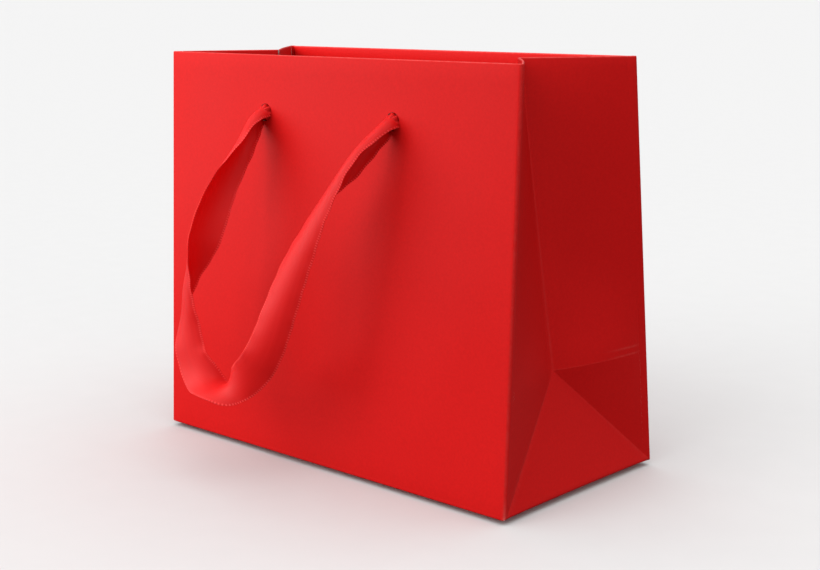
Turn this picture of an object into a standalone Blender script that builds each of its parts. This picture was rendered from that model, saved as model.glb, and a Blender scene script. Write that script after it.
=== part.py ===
"""A landscape paper gift bag with two satin ribbon handles, standing open.

Metres, +Z up, +X to the right of the front panel and +Y towards the back. The
origin is the centre of the base, on the surface that the bag stands on.
The two side gussets narrow towards the rim, so the hinge lines of each one
meet in an apex high above the bag, and the walls fold flat about that apex.
"""

import math

import bmesh
import bpy
from mathutils import Matrix, Vector

# Driving dimensions: the standing bag
WIDTH = 0.216
BASE_DEPTH = 0.106
HEIGHT = 0.184
FRONT_LEAN = 0.0095  # the front rim stands this far behind the front foot
BACK_LEAN = 0.0178  # the back rim stands this far in front of the back foot
GUSSET_TURN = math.radians(21)  # each gusset half is pushed in by this much
FOLD_HEIGHT = 0.05275  # the cross crease that lets the base fold up
TIP_HEIGHT = 0.0495  # the tip of each bottom triangle, where the creases of a gusset meet

# Driving dimensions: paper, board and the gaps between layers
PAPER = 0.00035
TOP_BOARD = 0.0008
BASE_BOARD = 0.0008
GAP = 0.0003
HEM = 0.040  # depth of the turned-in rim
HEM_INSET = 0.0045  # from a corner crease to the end of a wall's hem or board
GUSSET_HEM_INSET = 0.0021  # from the centre crease to the end of a gusset half's hem
SEAM_TAB = 0.013
HINGE_DEPTH = 0.00325  # from a wall's outer face to the gusset's hinge line
FREE_EDGE = 0.0011  # clearance of the one corner crease that is left unjoined
FLAP_REACH = 0.090  # how far the glued base flaps reach across the base
EDGE_INSET = 0.001  # the end flaps stay this far inside the walls, and the board twice as far
FLAP_CUT = 0.016  # the cut corners of the two long base flaps
END_FLAP_NOSE = 0.024  # the width that the end flaps narrow to
DIAGONAL_GAP = 0.0012  # clearance of the free front half along the bottom triangle
CORNER_GAP = 0.0008  # clearance of the corner triangle's tip

# Driving dimensions: ribbon handles
HOLE_X = 0.040
HOLE_Z = 0.158
HOLE_RADIUS = 0.004
RIBBON_WIDTH = 0.017
RIBBON_THICK = 0.0005
KNOT_SIZE = (0.012, 0.004, 0.010)
RIBBON_STEPS = 5  # cross sections between two points of a handle's route

# Each handle's route from its left hole round to its right one: the point, the
# direction of the ribbon's width there, and the width as a share of the whole.
FRONT_ROUTE = [
    ((-0.0400, -0.0456, 0.1578), (1.00, 0.00, 0.00), 0.30),
    ((-0.0410, -0.0510, 0.1540), (0.90, 0.20, 0.38), 0.60),
    ((-0.0415, -0.0580, 0.1440), (0.75, 0.38, 0.54), 0.95),
    ((-0.0470, -0.0668, 0.1255), (0.80, 0.45, 0.40), 1.00),
    ((-0.0500, -0.0748, 0.1040), (0.86, 0.44, 0.25), 1.00),
    ((-0.0545, -0.0822, 0.0810), (0.55, 0.83, 0.05), 1.00),
    ((-0.0503, -0.0870, 0.0585), (-0.15, 0.98, -0.12), 1.00),
    ((-0.0430, -0.0884, 0.0455), (-0.45, 0.85, -0.28), 1.00),
    ((-0.0290, -0.0890, 0.0390), (-0.30, 0.93, -0.20), 1.00),
    ((-0.0150, -0.0894, 0.0430), (-0.05, 0.99, 0.10), 1.00),
    ((-0.0025, -0.0890, 0.0520), (0.30, 0.93, -0.20), 1.00),
    ((0.0050, -0.0875, 0.0640), (0.68, 0.68, -0.27), 1.00),
    ((0.0100, -0.0845, 0.0800), (0.84, 0.48, -0.25), 1.00),
    ((0.0155, -0.0785, 0.1020), (0.88, 0.35, -0.28), 1.00),
    ((0.0215, -0.0710, 0.1220), (0.55, 0.62, 0.05), 1.00),
    ((0.0322, -0.0595, 0.1430), (0.50, 0.62, 0.60), 0.95),
    ((0.0388, -0.0510, 0.1540), (0.86, 0.25, 0.44), 0.60),
    ((0.0400, -0.0456, 0.1578), (1.00, 0.00, 0.00), 0.30),
]
BACK_ROUTE = [
    ((-0.0400, 0.0391, 0.1578), (1.00, 0.00, 0.00), 0.30),
    ((-0.0412, 0.0445, 0.1540), (0.92, -0.18, 0.34), 0.60),
    ((-0.0440, 0.0505, 0.1435), (0.90, -0.28, 0.34), 0.95),
    ((-0.0480, 0.0560, 0.1250), (0.95, -0.20, 0.20), 1.00),
    ((-0.0505, 0.0605, 0.1030), (0.98, -0.15, 0.08), 1.00),
    ((-0.0490, 0.0635, 0.0810), (0.98, -0.05, -0.15), 1.00),
    ((-0.0415, 0.0655, 0.0605), (0.85, 0.30, -0.40), 1.00),
    ((-0.0270, 0.0662, 0.0465), (0.45, 0.75, -0.45), 1.00),
    ((-0.0090, 0.0665, 0.0400), (0.10, 0.97, -0.15), 1.00),
    ((0.0090, 0.0665, 0.0400), (-0.10, 0.97, -0.15), 1.00),
    ((0.0270, 0.0662, 0.0465), (-0.45, 0.75, -0.45), 1.00),
    ((0.0415, 0.0655, 0.0605), (-0.85, 0.30, -0.40), 1.00),
    ((0.0490, 0.0635, 0.0810), (-0.98, -0.05, -0.15), 1.00),
    ((0.0505, 0.0605, 0.1030), (-0.98, -0.15, 0.08), 1.00),
    ((0.0480, 0.0560, 0.1250), (-0.95, -0.20, 0.20), 1.00),
    ((0.0440, 0.0505, 0.1435), (-0.90, -0.28, 0.34), 0.95),
    ((0.0412, 0.0445, 0.1540), (-0.92, -0.18, 0.34), 0.60),
    ((0.0400, 0.0391, 0.1578), (-1.00, 0.00, 0.00), 0.30),
]

PARTS = "gift_bag"
RIGHT = 1
LEFT = -1


# The creases that the walls turn on


def on_front(x, z):
    """A point of the front panel's outer face."""
    return Vector((x, -BASE_DEPTH / 2 + FRONT_LEAN * z / HEIGHT, z))


def on_back(x, z):
    """A point of the back panel's outer face."""
    return Vector((x, BASE_DEPTH / 2 - BACK_LEAN * z / HEIGHT, z))


def apex_of(side):
    """Where the three hinge lines of one gusset meet."""
    front_cos = HEIGHT / math.hypot(HEIGHT, FRONT_LEAN)
    back_cos = HEIGHT / math.hypot(HEIGHT, BACK_LEAN)
    span = BASE_DEPTH - HINGE_DEPTH / front_cos - HINGE_DEPTH / back_cos
    z = span * HEIGHT / (FRONT_LEAN + BACK_LEAN)
    y = on_front(0, z).y + HINGE_DEPTH / front_cos
    stub = HINGE_DEPTH - PAPER - GAP
    return Vector((side * (WIDTH / 2 - stub * math.sin(GUSSET_TURN)), y, z))


def hinge_directions(side):
    """Unit vectors down the front hinge, the centre crease and the back hinge of a gusset."""
    front = (on_front(0, 0) - on_front(0, HEIGHT)).normalized()
    back = (on_back(0, 0) - on_back(0, HEIGHT)).normalized()
    half_span = front.angle(back) / 2
    half_gusset = math.atan(math.tan(half_span) / math.cos(GUSSET_TURN))
    inward = math.asin(math.sin(half_gusset) * math.sin(GUSSET_TURN))
    middle = (front + back).normalized()
    centre = math.cos(inward) * middle - side * math.sin(inward) * Vector((1, 0, 0))
    return front, centre, back


def at_height(apex, direction, z):
    return apex + direction * ((z - apex.z) / direction.z)


def across(direction, towards):
    """The unit vector square to direction, in its plane with towards, on that side."""
    return (towards - towards.dot(direction) * direction).normalized()


# Making solids


def make_material(name, colour, roughness):
    material = bpy.data.materials.new(name)
    material.use_nodes = True
    shader = material.node_tree.nodes["Principled BSDF"]
    shader.inputs["Base Color"].default_value = (*colour, 1)
    shader.inputs["Roughness"].default_value = roughness
    shader.inputs["Metallic"].default_value = 0
    return material


def add(name, data, material):
    obj = bpy.data.objects.new(name, data)
    bpy.data.collections[PARTS].objects.link(obj)
    obj.data.materials.append(bpy.data.materials[material])
    return obj


def add_ring(curve, points):
    spline = curve.splines.new("POLY")
    spline.points.add(len(points) - 1)
    for point, place in zip(spline.points, points):
        point.co = (place.x, place.y, 0, 1)
    spline.use_cyclic_u = True


def sheet(name, corners, inside, material, start=0.0, thick=PAPER, holes=()):
    """A flat sheet. Its outer face goes through the corners, and start moves it towards inside."""
    along = (corners[1] - corners[0]).normalized()
    normal = along.cross(corners[2] - corners[0]).normalized()
    if normal.dot(inside - corners[0]) < 0:
        normal = -normal
    upward = normal.cross(along)
    place = Matrix((along, upward, normal)).transposed().to_4x4()
    place.translation = corners[0] + normal * (start + thick / 2)
    to_plane = place.inverted()
    curve = bpy.data.curves.new(name, "CURVE")
    curve.dimensions = "2D"
    curve.fill_mode = "BOTH"
    curve.extrude = thick / 2
    add_ring(curve, [to_plane @ corner for corner in corners])
    for hole in holes:
        middle = to_plane @ hole
        turns = [math.tau * i / 16 for i in range(16)]
        ring = [Vector((math.cos(a), math.sin(a), 0)) * HOLE_RADIUS for a in turns]
        add_ring(curve, [middle + point for point in ring])
    obj = add(name, curve, material)
    obj.matrix_world = place
    return obj


def rectangle(on_wall, x_low, x_high, z_low, z_high):
    return [
        on_wall(x_low, z_low),
        on_wall(x_high, z_low),
        on_wall(x_high, z_high),
        on_wall(x_low, z_high),
    ]


# The sub-parts


def base():
    """Four glued flaps and the loose board that covers them."""
    half_width, half_depth = WIDTH / 2, BASE_DEPTH / 2
    above = Vector((0, 0, 1))

    def long_flap(name, side, start):
        hinge, free = side * half_depth, side * (half_depth - FLAP_REACH)
        step = math.copysign(FLAP_CUT, hinge - free)
        outline = [
            (-half_width, hinge),
            (half_width, hinge),
            (half_width, free + step),
            (half_width - FLAP_CUT, free),
            (FLAP_CUT - half_width, free),
            (-half_width, free + step),
        ]
        sheet(name, [Vector((x, y, 0)) for x, y in outline], above, "paper_red", start)

    def end_flap(name, side):
        outer, inner = side * (half_width - EDGE_INSET), side * (half_width - half_depth)
        reach = half_depth - EDGE_INSET
        nose = END_FLAP_NOSE / 2
        outline = [(outer, -reach), (outer, reach), (inner, nose), (inner, -nose)]
        start = 2 * (PAPER + GAP)
        sheet(name, [Vector((x, y, 0)) for x, y in outline], above, "paper_white", start)

    long_flap("base_outer_flap", -1, 0)
    long_flap("base_inner_flap", 1, PAPER + GAP)
    end_flap("base_left_flap", LEFT)
    end_flap("base_right_flap", RIGHT)
    x, y = half_width - 2 * EDGE_INSET, half_depth - 2 * EDGE_INSET
    outline = [Vector(corner) for corner in ((-x, -y, 0), (x, -y, 0), (x, y, 0), (-x, y, 0))]
    sheet("base_board", outline, above, "board_grey", 3 * (PAPER + GAP), BASE_BOARD)


def wall(name, on_wall, z_low, inside):
    """A wide wall with its rim board and turned-in hem, punched for the ribbon."""
    half = WIDTH / 2
    holes = [on_wall(-HOLE_X, HOLE_Z), on_wall(HOLE_X, HOLE_Z)]
    outline = rectangle(on_wall, -half, half, z_low, HEIGHT)
    sheet(name + "_panel", outline, inside, "paper_red", holes=holes)
    reach = half - HEM_INSET
    outline = rectangle(on_wall, -reach, reach, HEIGHT - HEM + 0.004, HEIGHT - 0.001)
    board_start = PAPER + GAP
    sheet(name + "_top_board", outline, inside, "board_grey", board_start, TOP_BOARD, holes)
    outline = rectangle(on_wall, -reach, reach, HEIGHT - HEM, HEIGHT - GAP)
    hem_start = board_start + TOP_BOARD + GAP
    sheet(name + "_top_hem", outline, inside, "paper_red", hem_start, holes=holes)


def knot(name, on_wall, x, inward):
    """The flattened overhand knot that keeps a ribbon's end inside the bag."""
    mesh = bpy.data.meshes.new(name)
    shape = bmesh.new()
    bmesh.ops.create_uvsphere(shape, u_segments=16, v_segments=10, radius=0.5)
    shape.to_mesh(mesh)
    shape.free()
    mesh.transform(Matrix.Diagonal((*KNOT_SIZE, 1)))
    mesh.shade_smooth()
    obj = add(name, mesh, "ribbon_red")
    stack = 2 * PAPER + TOP_BOARD + 3 * GAP
    obj.location = on_wall(x, HOLE_Z) + inward * (stack + KNOT_SIZE[1] / 2)
    return obj


def back_lower_panel():
    """The strip of the back wall below the cross crease."""
    half = WIDTH / 2
    outline = rectangle(on_back, -half, half, 2 * PAPER + 2 * GAP, FOLD_HEIGHT - GAP / 2)
    sheet("back_lower_panel", outline, Vector((0, 0, FOLD_HEIGHT)), "paper_red")


def seam_tab():
    """The gusset's glue tab inside the back panel."""
    outer = WIDTH / 2 - HEM_INSET
    low, high = FOLD_HEIGHT + 0.002, HEIGHT - HEM - 0.001
    outline = rectangle(on_back, -outer, SEAM_TAB - outer, low, high)
    sheet("side_seam_tab", outline, Vector((0, 0, HEIGHT / 2)), "paper_white", PAPER + GAP)


def gusset(word, side):
    """The four sheets of one gusset: two halves with hems, and the two bottom triangles."""
    apex = apex_of(side)
    front, centre, back = hinge_directions(side)
    stub = HINGE_DEPTH - PAPER - GAP
    middle = Vector((0, 0, HEIGHT / 2))
    foot_z = 2 * PAPER + 2 * GAP

    def edge(hinge, z, past):
        """A point past the hinge line, away from the centre crease."""
        return at_height(apex, hinge, z) - past * across(hinge, centre)

    def crease(hinge, z, short=GAP / 2):
        """A point that stops short of the centre crease on this hinge's side."""
        return at_height(apex, centre, z) + short * across(centre, hinge)

    def hem(name, hinge, low, high):
        outline = [
            edge(hinge, low, -GAP),
            edge(hinge, high, -GAP),
            crease(hinge, high, GUSSET_HEM_INSET),
            crease(hinge, low, GUSSET_HEM_INSET),
        ]
        sheet(name, outline, middle, "paper_red", PAPER + GAP)

    front_past = stub - (FREE_EDGE if side == LEFT else 0)
    outline = [
        edge(front, foot_z + DIAGONAL_GAP, front_past),
        edge(front, HEIGHT, front_past),
        crease(front, HEIGHT),
        crease(front, TIP_HEIGHT + DIAGONAL_GAP),
    ]
    sheet(f"{word}_gusset_front", outline, middle, "paper_red")
    hem(f"{word}_gusset_front_hem", front, HEIGHT - HEM, HEIGHT - GAP)
    outline = [
        edge(back, FOLD_HEIGHT + GAP, stub),
        edge(back, HEIGHT, stub),
        crease(back, HEIGHT),
        crease(back, TIP_HEIGHT + GAP),
    ]
    sheet(f"{word}_gusset_back", outline, middle, "paper_red")
    hem(f"{word}_gusset_back_hem", back, HEIGHT - HEM, HEIGHT - GAP)
    outline = [
        edge(back, FOLD_HEIGHT - GAP, stub),
        crease(back, TIP_HEIGHT - GAP, CORNER_GAP),
        edge(back, foot_z + 0.003, stub),
    ]
    sheet(f"{word}_corner_triangle", outline, middle, "paper_red")
    tip = at_height(apex, centre, TIP_HEIGHT - 0.0006)
    foot_x = side * WIDTH / 2
    outline = [
        Vector((foot_x, on_front(0, 0).y + PAPER + GAP + 0.0003, foot_z)),
        Vector((foot_x, on_back(0, 0).y - PAPER - GAP - 0.0004, foot_z)),
        tip,
    ]
    sheet(f"{word}_bottom_triangle", outline, middle, "paper_red")


def through(points, steps):
    """Points on a smooth curve through the given ones, the curve of Catmull and Rom."""
    ends = [2 * points[0] - points[1], *points, 2 * points[-1] - points[-2]]
    found = []
    for before, start, end, after in zip(ends, ends[1:], ends[2:], ends[3:]):
        for i in range(steps):
            t = i / steps
            pull = 2 * start + (end - before) * t
            bend = (2 * before - 5 * start + 4 * end - after) * t**2
            turn = (3 * start - before - 3 * end + after) * t**3
            found.append((pull + bend + turn) / 2)
    return [*found, points[-1]]


def ribbon(name, route):
    """A flat ribbon along a route, twisting as its width turns."""
    middles = through([Vector(point) for point, _, _ in route], RIBBON_STEPS)
    sides = through([Vector(side).normalized() for _, side, _ in route], RIBBON_STEPS)
    shares = through([Vector((share, 0)) for _, _, share in route], RIBBON_STEPS)
    mesh = bpy.data.meshes.new(name)
    shape = bmesh.new()
    rows = []
    last = len(middles) - 1
    for i, middle in enumerate(middles):
        tangent = (middles[min(i + 1, last)] - middles[max(i - 1, 0)]).normalized()
        side = across(tangent, sides[i])
        reach = side * (shares[i].x * RIBBON_WIDTH / 2)
        rows.append((shape.verts.new(middle - reach), shape.verts.new(middle + reach)))
    for (a, b), (c, d) in zip(rows, rows[1:]):
        shape.faces.new((a, b, d, c))
    shape.to_mesh(mesh)
    shape.free()
    mesh.shade_smooth()
    obj = add(name, mesh, "ribbon_red")
    solid = obj.modifiers.new("thickness", "SOLIDIFY")
    solid.thickness = RIBBON_THICK
    solid.offset = 0
    return obj


def build():
    for obj in list(bpy.data.objects):
        bpy.data.objects.remove(obj, do_unlink=True)
    parts = bpy.data.collections.new(PARTS)
    bpy.context.scene.collection.children.link(parts)
    make_material("paper_red", (0.72, 0.016, 0.020), 0.42)
    make_material("paper_white", (0.85, 0.82, 0.80), 0.8)
    make_material("board_grey", (0.52, 0.49, 0.44), 0.9)
    make_material("ribbon_red", (0.60, 0.008, 0.010), 0.3)
    middle = Vector((0, 0, HEIGHT / 2))
    base()
    back_lower_panel()
    wall("back", on_back, FOLD_HEIGHT + GAP / 2, middle)
    seam_tab()
    wall("front", on_front, PAPER + GAP, middle)
    gusset("right", RIGHT)
    gusset("left", LEFT)
    front_inward = Vector((0, HEIGHT, -FRONT_LEAN)).normalized()
    back_inward = Vector((0, -HEIGHT, -BACK_LEAN)).normalized()
    for word, x in (("left", -HOLE_X), ("right", HOLE_X)):
        knot(f"front_{word}_knot", on_front, x, front_inward)
        knot(f"back_{word}_knot", on_back, x, back_inward)
    ribbon("front_handle_ribbon", FRONT_ROUTE)
    ribbon("back_handle_ribbon", BACK_ROUTE)


build()
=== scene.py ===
"""The looks of the gift bag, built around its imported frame: one creased sheet of
laminated paper, its boards and its two satin ribbon handles.

Metres, +Z up, +X to the right of the front panel, +Y towards the back.
"""

import math

import bpy
import numpy as np
from mathutils import Matrix, Vector


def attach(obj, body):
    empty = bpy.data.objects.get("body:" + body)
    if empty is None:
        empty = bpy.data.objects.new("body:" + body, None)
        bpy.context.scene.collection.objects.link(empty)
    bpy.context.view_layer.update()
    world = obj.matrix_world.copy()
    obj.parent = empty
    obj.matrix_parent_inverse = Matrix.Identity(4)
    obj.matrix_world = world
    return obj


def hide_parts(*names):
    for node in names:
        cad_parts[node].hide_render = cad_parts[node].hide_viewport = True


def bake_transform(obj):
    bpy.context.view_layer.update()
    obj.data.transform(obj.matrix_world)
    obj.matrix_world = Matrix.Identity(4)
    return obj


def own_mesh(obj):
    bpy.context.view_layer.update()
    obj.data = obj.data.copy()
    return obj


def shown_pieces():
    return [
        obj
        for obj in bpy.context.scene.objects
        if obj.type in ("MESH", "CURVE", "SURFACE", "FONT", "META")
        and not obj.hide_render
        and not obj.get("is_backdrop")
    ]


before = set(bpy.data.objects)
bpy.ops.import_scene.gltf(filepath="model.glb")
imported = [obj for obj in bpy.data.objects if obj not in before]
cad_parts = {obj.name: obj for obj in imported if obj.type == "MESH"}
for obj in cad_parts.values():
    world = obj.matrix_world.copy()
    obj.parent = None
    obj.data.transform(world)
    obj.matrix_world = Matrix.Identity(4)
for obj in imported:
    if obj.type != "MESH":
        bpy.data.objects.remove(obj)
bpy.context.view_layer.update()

# The standing bag, as in the CAD
WIDTH = 0.216
BASE_DEPTH = 0.106
HEIGHT = 0.184
FRONT_LEAN = 0.0095  # how far back the rim of a panel stands behind its foot
BACK_LEAN = 0.0178
GUSSET_TURN = math.radians(21)
FOLD_HEIGHT = 0.05275
PAPER = 0.00035
TOP_BOARD = 0.0008
GAP = 0.0003
HEM = 0.040  # how far down the turned-in rim reaches
HEM_INSET = 0.0045  # the hem and the rim board stop this far short of the side
BOARD_CLEAR = 0.0002
HINGE_DEPTH = 0.00325  # a gusset's hinge is this far behind the panel's face
CORNER_LIFT = 0.0018  # how far inside the folded half its corner triangle lies
HALF_LEVELS = (0.05, 0.15)  # two heights at which a half's plane is worked out
FLAP_REACH = 0.090  # from a flap's crease to its free edge
FLAP_CUT = 0.016  # how much is cut off a flap's free corners
HOLE_X = 0.040
HOLE_Z = 0.158
HOLE_RADIUS = 0.004
CUTTER_LENGTH = 0.02
CRISP_ANGLE = math.radians(50)
RIBBON_WIDTH = 0.017

# The shape of the paper between the creases
TIP = (0.0158, 0.0505)  # how far in and how high the creases of a gusset meet
RIM_TUCK = 0.0325  # how far in the centre crease is at the rim
TUCK_GROWTH = 0.95  # under 1 the crease leaves the tip leaning more
CROSS_RIDGE = 0.0026  # how far the cross crease stands proud of the flat gusset
CORNER_RADIUS = 0.0013
CORNER_REACH = 0.0022  # where the front and back panels end, short of the corner
CORNER_ARC = 9  # the last column of a corner strip's round part
CORNER_LAST = CORNER_ARC + 3
CORNER_RIDGE = 4  # the column where the bottom triangle starts
CORNER_FOOT = 0.003  # the height at which a strip's plan is taken for its lower end
FIRST_TURN = math.radians(25)  # where working out a corner's turn starts
PAST_HINGE = 0.0015  # a corner strip runs this far past the hinge
CREASE_SOFT = 0.0013  # the width that is rounded into the centre crease
CREASE_PROUD = 0.0004  # how far out the rounded crease stands
HALF_COLUMNS = 15
BOW = 0.0011  # the most that a gusset half stands in or out of flat
WALL_COLUMNS = 59
LOWER_ROWS = 12
RIM_ROLL = 0.00055  # how high the fold at the rim rises
WALL_STACK = 2 * PAPER + TOP_BOARD + 2 * GAP
CORNER_STACK = 2 * PAPER + GAP
FOOT_ROLL = 0.0009  # the radius of the fold at the foot of the panels
SIDE_ROLL = 0.0026  # and of the fold at the foot of the gussets
FLAP_SIDE = 0.0004  # the base flaps end this far inside the gussets' foot
LAP_RAMP = 0.004  # the length over which a flap climbs onto the other one

# The ribbons, their knots and their routes
RIBBON_THICK = 0.00032
RIBBON_STEPS = 12
RIBBON_COLUMNS = 45
FLATTEST_TURN = math.radians(4)  # keeps a flat section an arc
RIPPLE_HEIGHT = 0.00022
RIPPLE_LENGTH = 0.011
GATHERED_WIDTH = 0.014  # what shows of the width of a gathered ribbon: not its stitched edges
KNOT_DEPTH = WALL_STACK + GAP + 0.002  # from the wall's outer face to a knot's middle
KNOT_CORD = 0.00135
LOOP_ACROSS = 0.00135
LOOP_UP = 0.00115
LOOP_DEEP = 0.0010
STUB_OUT = 0.0022  # how far the gathered ribbon stands out of its hole
STUB_RADII = (0.0012, 0.0026, 0.0032, 0.0034, 0.0034, 0.0033, 0.0030, 0.0026, 0.0022)
TAIL_LENGTH = 0.013
TAIL_DROP = 0.0035  # where a tail starts, under the knot's middle
TAIL_BEHIND = 0.0008  # and behind it
TAIL_SLANT = 0.0035  # how far out of square a tail is cut
TAIL_BOW = 0.0022
TAIL_SPREAD = 0.003

# Each point of a ribbon's middle line, which way its hollow side faces there, and how far
# the ribbon turns across its width, in degrees: nearly a tube where it enters a hole.
FRONT_ROUTE = [
    ((-0.0400, -0.0456, 0.1578), (0.57, 0.66, -0.45), 262),
    ((-0.0410, -0.0510, 0.1540), (0.85, 0.35, -0.35), 225),
    ((-0.0415, -0.0580, 0.1440), (0.95, 0.13, -0.24), 170),
    ((-0.0470, -0.0668, 0.1255), (0.96, -0.20, -0.06), 100),
    ((-0.0500, -0.0748, 0.1040), (0.92, -0.36, -0.12), 70),
    ((-0.0545, -0.0822, 0.0810), (0.74, 0.60, -0.22), 135),
    ((-0.0503, -0.0870, 0.0585), (-0.10, 0.94, -0.29), 60),
    ((-0.0430, -0.0884, 0.0455), (-0.08, 0.88, -0.45), 30),
    ((-0.0290, -0.0890, 0.0390), (-0.06, 0.22, -0.97), 44),
    ((-0.0150, -0.0894, 0.0430), (-0.42, 0.82, -0.34), 40),
    ((-0.0025, -0.0890, 0.0520), (-0.54, 0.80, -0.06), 36),
    ((0.0050, -0.0875, 0.0640), (-0.46, 0.86, -0.16), 50),
    ((0.0100, -0.0845, 0.0800), (-0.32, 0.89, -0.26), 64),
    ((0.0155, -0.0785, 0.1020), (-0.07, 0.90, -0.43), 80),
    ((0.0215, -0.0710, 0.1220), (0.39, 0.76, -0.50), 105),
    ((0.0322, -0.0595, 0.1430), (0.92, 0.11, -0.35), 200),
    ((0.0388, -0.0510, 0.1540), (0.78, 0.23, -0.53), 230),
    ((0.0400, -0.0456, 0.1578), (0.50, 0.55, -0.63), 262),
]
BACK_ROUTE = [
    ((-0.0400, 0.0391, 0.1578), (0.00, -0.84, -0.50), 265),
    ((-0.0412, 0.0445, 0.1540), (0.05, -0.90, -0.40), 225),
    ((-0.0440, 0.0505, 0.1435), (0.25, -0.95, -0.20), 150),
    ((-0.0480, 0.0560, 0.1250), (0.20, -0.97, -0.10), 85),
    ((-0.0505, 0.0605, 0.1030), (0.15, -0.98, 0.05), 50),
    ((-0.0490, 0.0635, 0.0810), (0.20, -0.95, 0.20), 35),
    ((-0.0415, 0.0655, 0.0605), (0.45, -0.70, 0.55), 30),
    ((-0.0270, 0.0662, 0.0465), (0.50, -0.30, 0.80), 30),
    ((-0.0090, 0.0665, 0.0400), (0.12, -0.05, 0.98), 35),
    ((0.0090, 0.0665, 0.0400), (-0.12, -0.05, 0.98), 35),
    ((0.0270, 0.0662, 0.0465), (-0.50, -0.30, 0.80), 30),
    ((0.0415, 0.0655, 0.0605), (-0.45, -0.70, 0.55), 30),
    ((0.0490, 0.0635, 0.0810), (-0.20, -0.95, 0.20), 35),
    ((0.0505, 0.0605, 0.1030), (-0.15, -0.98, 0.05), 50),
    ((0.0480, 0.0560, 0.1250), (-0.20, -0.97, -0.10), 85),
    ((0.0440, 0.0505, 0.1435), (-0.25, -0.95, -0.20), 150),
    ((0.0412, 0.0445, 0.1540), (-0.05, -0.90, -0.40), 225),
    ((0.0400, 0.0391, 0.1578), (0.00, -0.84, -0.50), 265),
]

# Colours and the satin's weave
RED_DEEP = (0.54, 0.0065, 0.0065, 1)
RED_WARM = (0.60, 0.0090, 0.0085, 1)
# pale red for rubbed folds, and for painted highlights
RED_WORN_AND_HIGHLIGHT = (0.86, 0.30, 0.27, 1)
PAPER_GLOSS = 0.05
SATIN_DEEP = (0.54, 0.006, 0.006, 1)
SATIN_LIGHT = (0.62, 0.009, 0.009, 1)
SATIN_STITCH = (0.74, 0.045, 0.045, 1)
SHEEN_TINT = (1.0, 0.35, 0.32, 1)
RIB_PITCH = 0.00042
THREAD_PITCH = 0.00022
STITCH_PITCH = 0.0011
STITCH_EDGE = (0.0075, 0.0078)  # how far from the middle the stitched edge fades in
ROOM_LOW = (0.16, 0.15, 0.15, 1)
ROOM_HIGH = (0.75, 0.75, 0.75, 1)
BACKDROP_SHADE = (0.92, 0.92, 0.92, 1)
FLOOR_DARK = (0.665, 0.665, 0.665, 1)
FLOOR_PALE = (0.685, 0.685, 0.685, 1)

# How much paler the paper is where it is rubbed, and where highlights are painted, from 0 to 1
# the rim's fold: rubbed paper and a painted highlight
RIM_WEAR_AND_HIGHLIGHT = 0.30
RIDGE_WEAR = 0.06
RIDGE_SPREAD = 2.2  # in columns of a corner strip
FOOT_WEAR_AND_HIGHLIGHT = 0.30  # on top of that, at the foot of a corner: chipped paper and a painted highlight
FOOT_MARK_HEIGHT = 0.006
FOLD_WEAR = 0.10
CREASE_WEAR = 0.03
LOW_CREASE_WEAR = 0.04
# a painted highlight on the cross crease itself
CROSS_CREASE_HIGHLIGHT = 0.05
# how bright the painted highlight lines above the cross crease are
HIGHLIGHT_LINES = 0.09
HIGHLIGHT_LINE_STEPS = (0.004, 0.028)  # the two painted highlight lines above the cross crease

# The studio
CAMERA_PLACE = (0.4650, -0.4900, 0.2136)
CAMERA_LENS = 64.24
CAMERA_SENSOR = 36.0
CAMERA_YAW = -0.7512
CAMERA_PITCH = -0.2012
CAMERA_ROLL = -0.0093
FLOOR_HALF = 40.0
FLOOR_DROP = 0.0020  # for the dark line under the bag
INNER_RIM = ("back_wall_paper", "left_gusset_rear_paper_hem", "right_gusset_rear_paper_hem")

UP = np.array((0.0, 0.0, 1.0))
RIGHT = 1
LEFT = -1
FRONT = -1
BACK = 1


# Small tools


def unit(vector):
    return vector / np.linalg.norm(vector)


def ease(low, high, value):
    t = np.clip((value - low) / (high - low), 0, 1)
    return t * t * (3 - 2 * t)


def node(tree, kind, inputs=None, **settings):
    """Adds a node; an input is a value, or the socket that feeds it."""
    made = tree.nodes.new("ShaderNode" + kind)
    for name, value in settings.items():
        setattr(made, name, value)
    for key, value in (inputs or {}).items():
        if isinstance(value, bpy.types.NodeSocket):
            tree.links.new(value, made.inputs[key])
        else:
            made.inputs[key].default_value = value
    return made


def add_object(name, data):
    obj = bpy.data.objects.new(name, data)
    bpy.context.scene.collection.objects.link(obj)
    return obj


def add_mesh(name, points, faces, materials, outward=None, wear=None, uv=None):
    """A mesh object. outward turns its faces to that side; the next argument gives each point how
    pale it is, from rubbed paper and from painted highlights.
    """
    mesh = bpy.data.meshes.new(name)
    mesh.from_pydata([tuple(point) for point in points], [], faces)
    mesh.validate()
    if outward is not None:
        facing = sum((face.normal * face.area for face in mesh.polygons), Vector())
        if facing.dot(Vector(outward)) < 0:
            mesh.flip_normals()
    # how pale each point is: rubbed paper, and painted highlights on the rim, the corners' feet and
    # the cross crease
    if wear is not None:
        spots = mesh.attributes.new("wear", "FLOAT", "POINT")
        spots.data.foreach_set("value", np.asarray(wear, np.float32).ravel())
    if uv is not None:
        layer = mesh.uv_layers.new(name="UVMap")
        for loop in mesh.loops:
            layer.data[loop.index].uv = uv[loop.vertex_index]
    mesh.shade_smooth()
    obj = add_object(name, mesh)
    for material in materials:
        obj.data.materials.append(material)
    return obj


def grid_faces(rows, columns):
    """The quads of a grid of points, given row by row."""
    return [
        (r * columns + c, r * columns + c + 1, (r + 1) * columns + c + 1, (r + 1) * columns + c)
        for r in range(rows - 1)
        for c in range(columns - 1)
    ]


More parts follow.
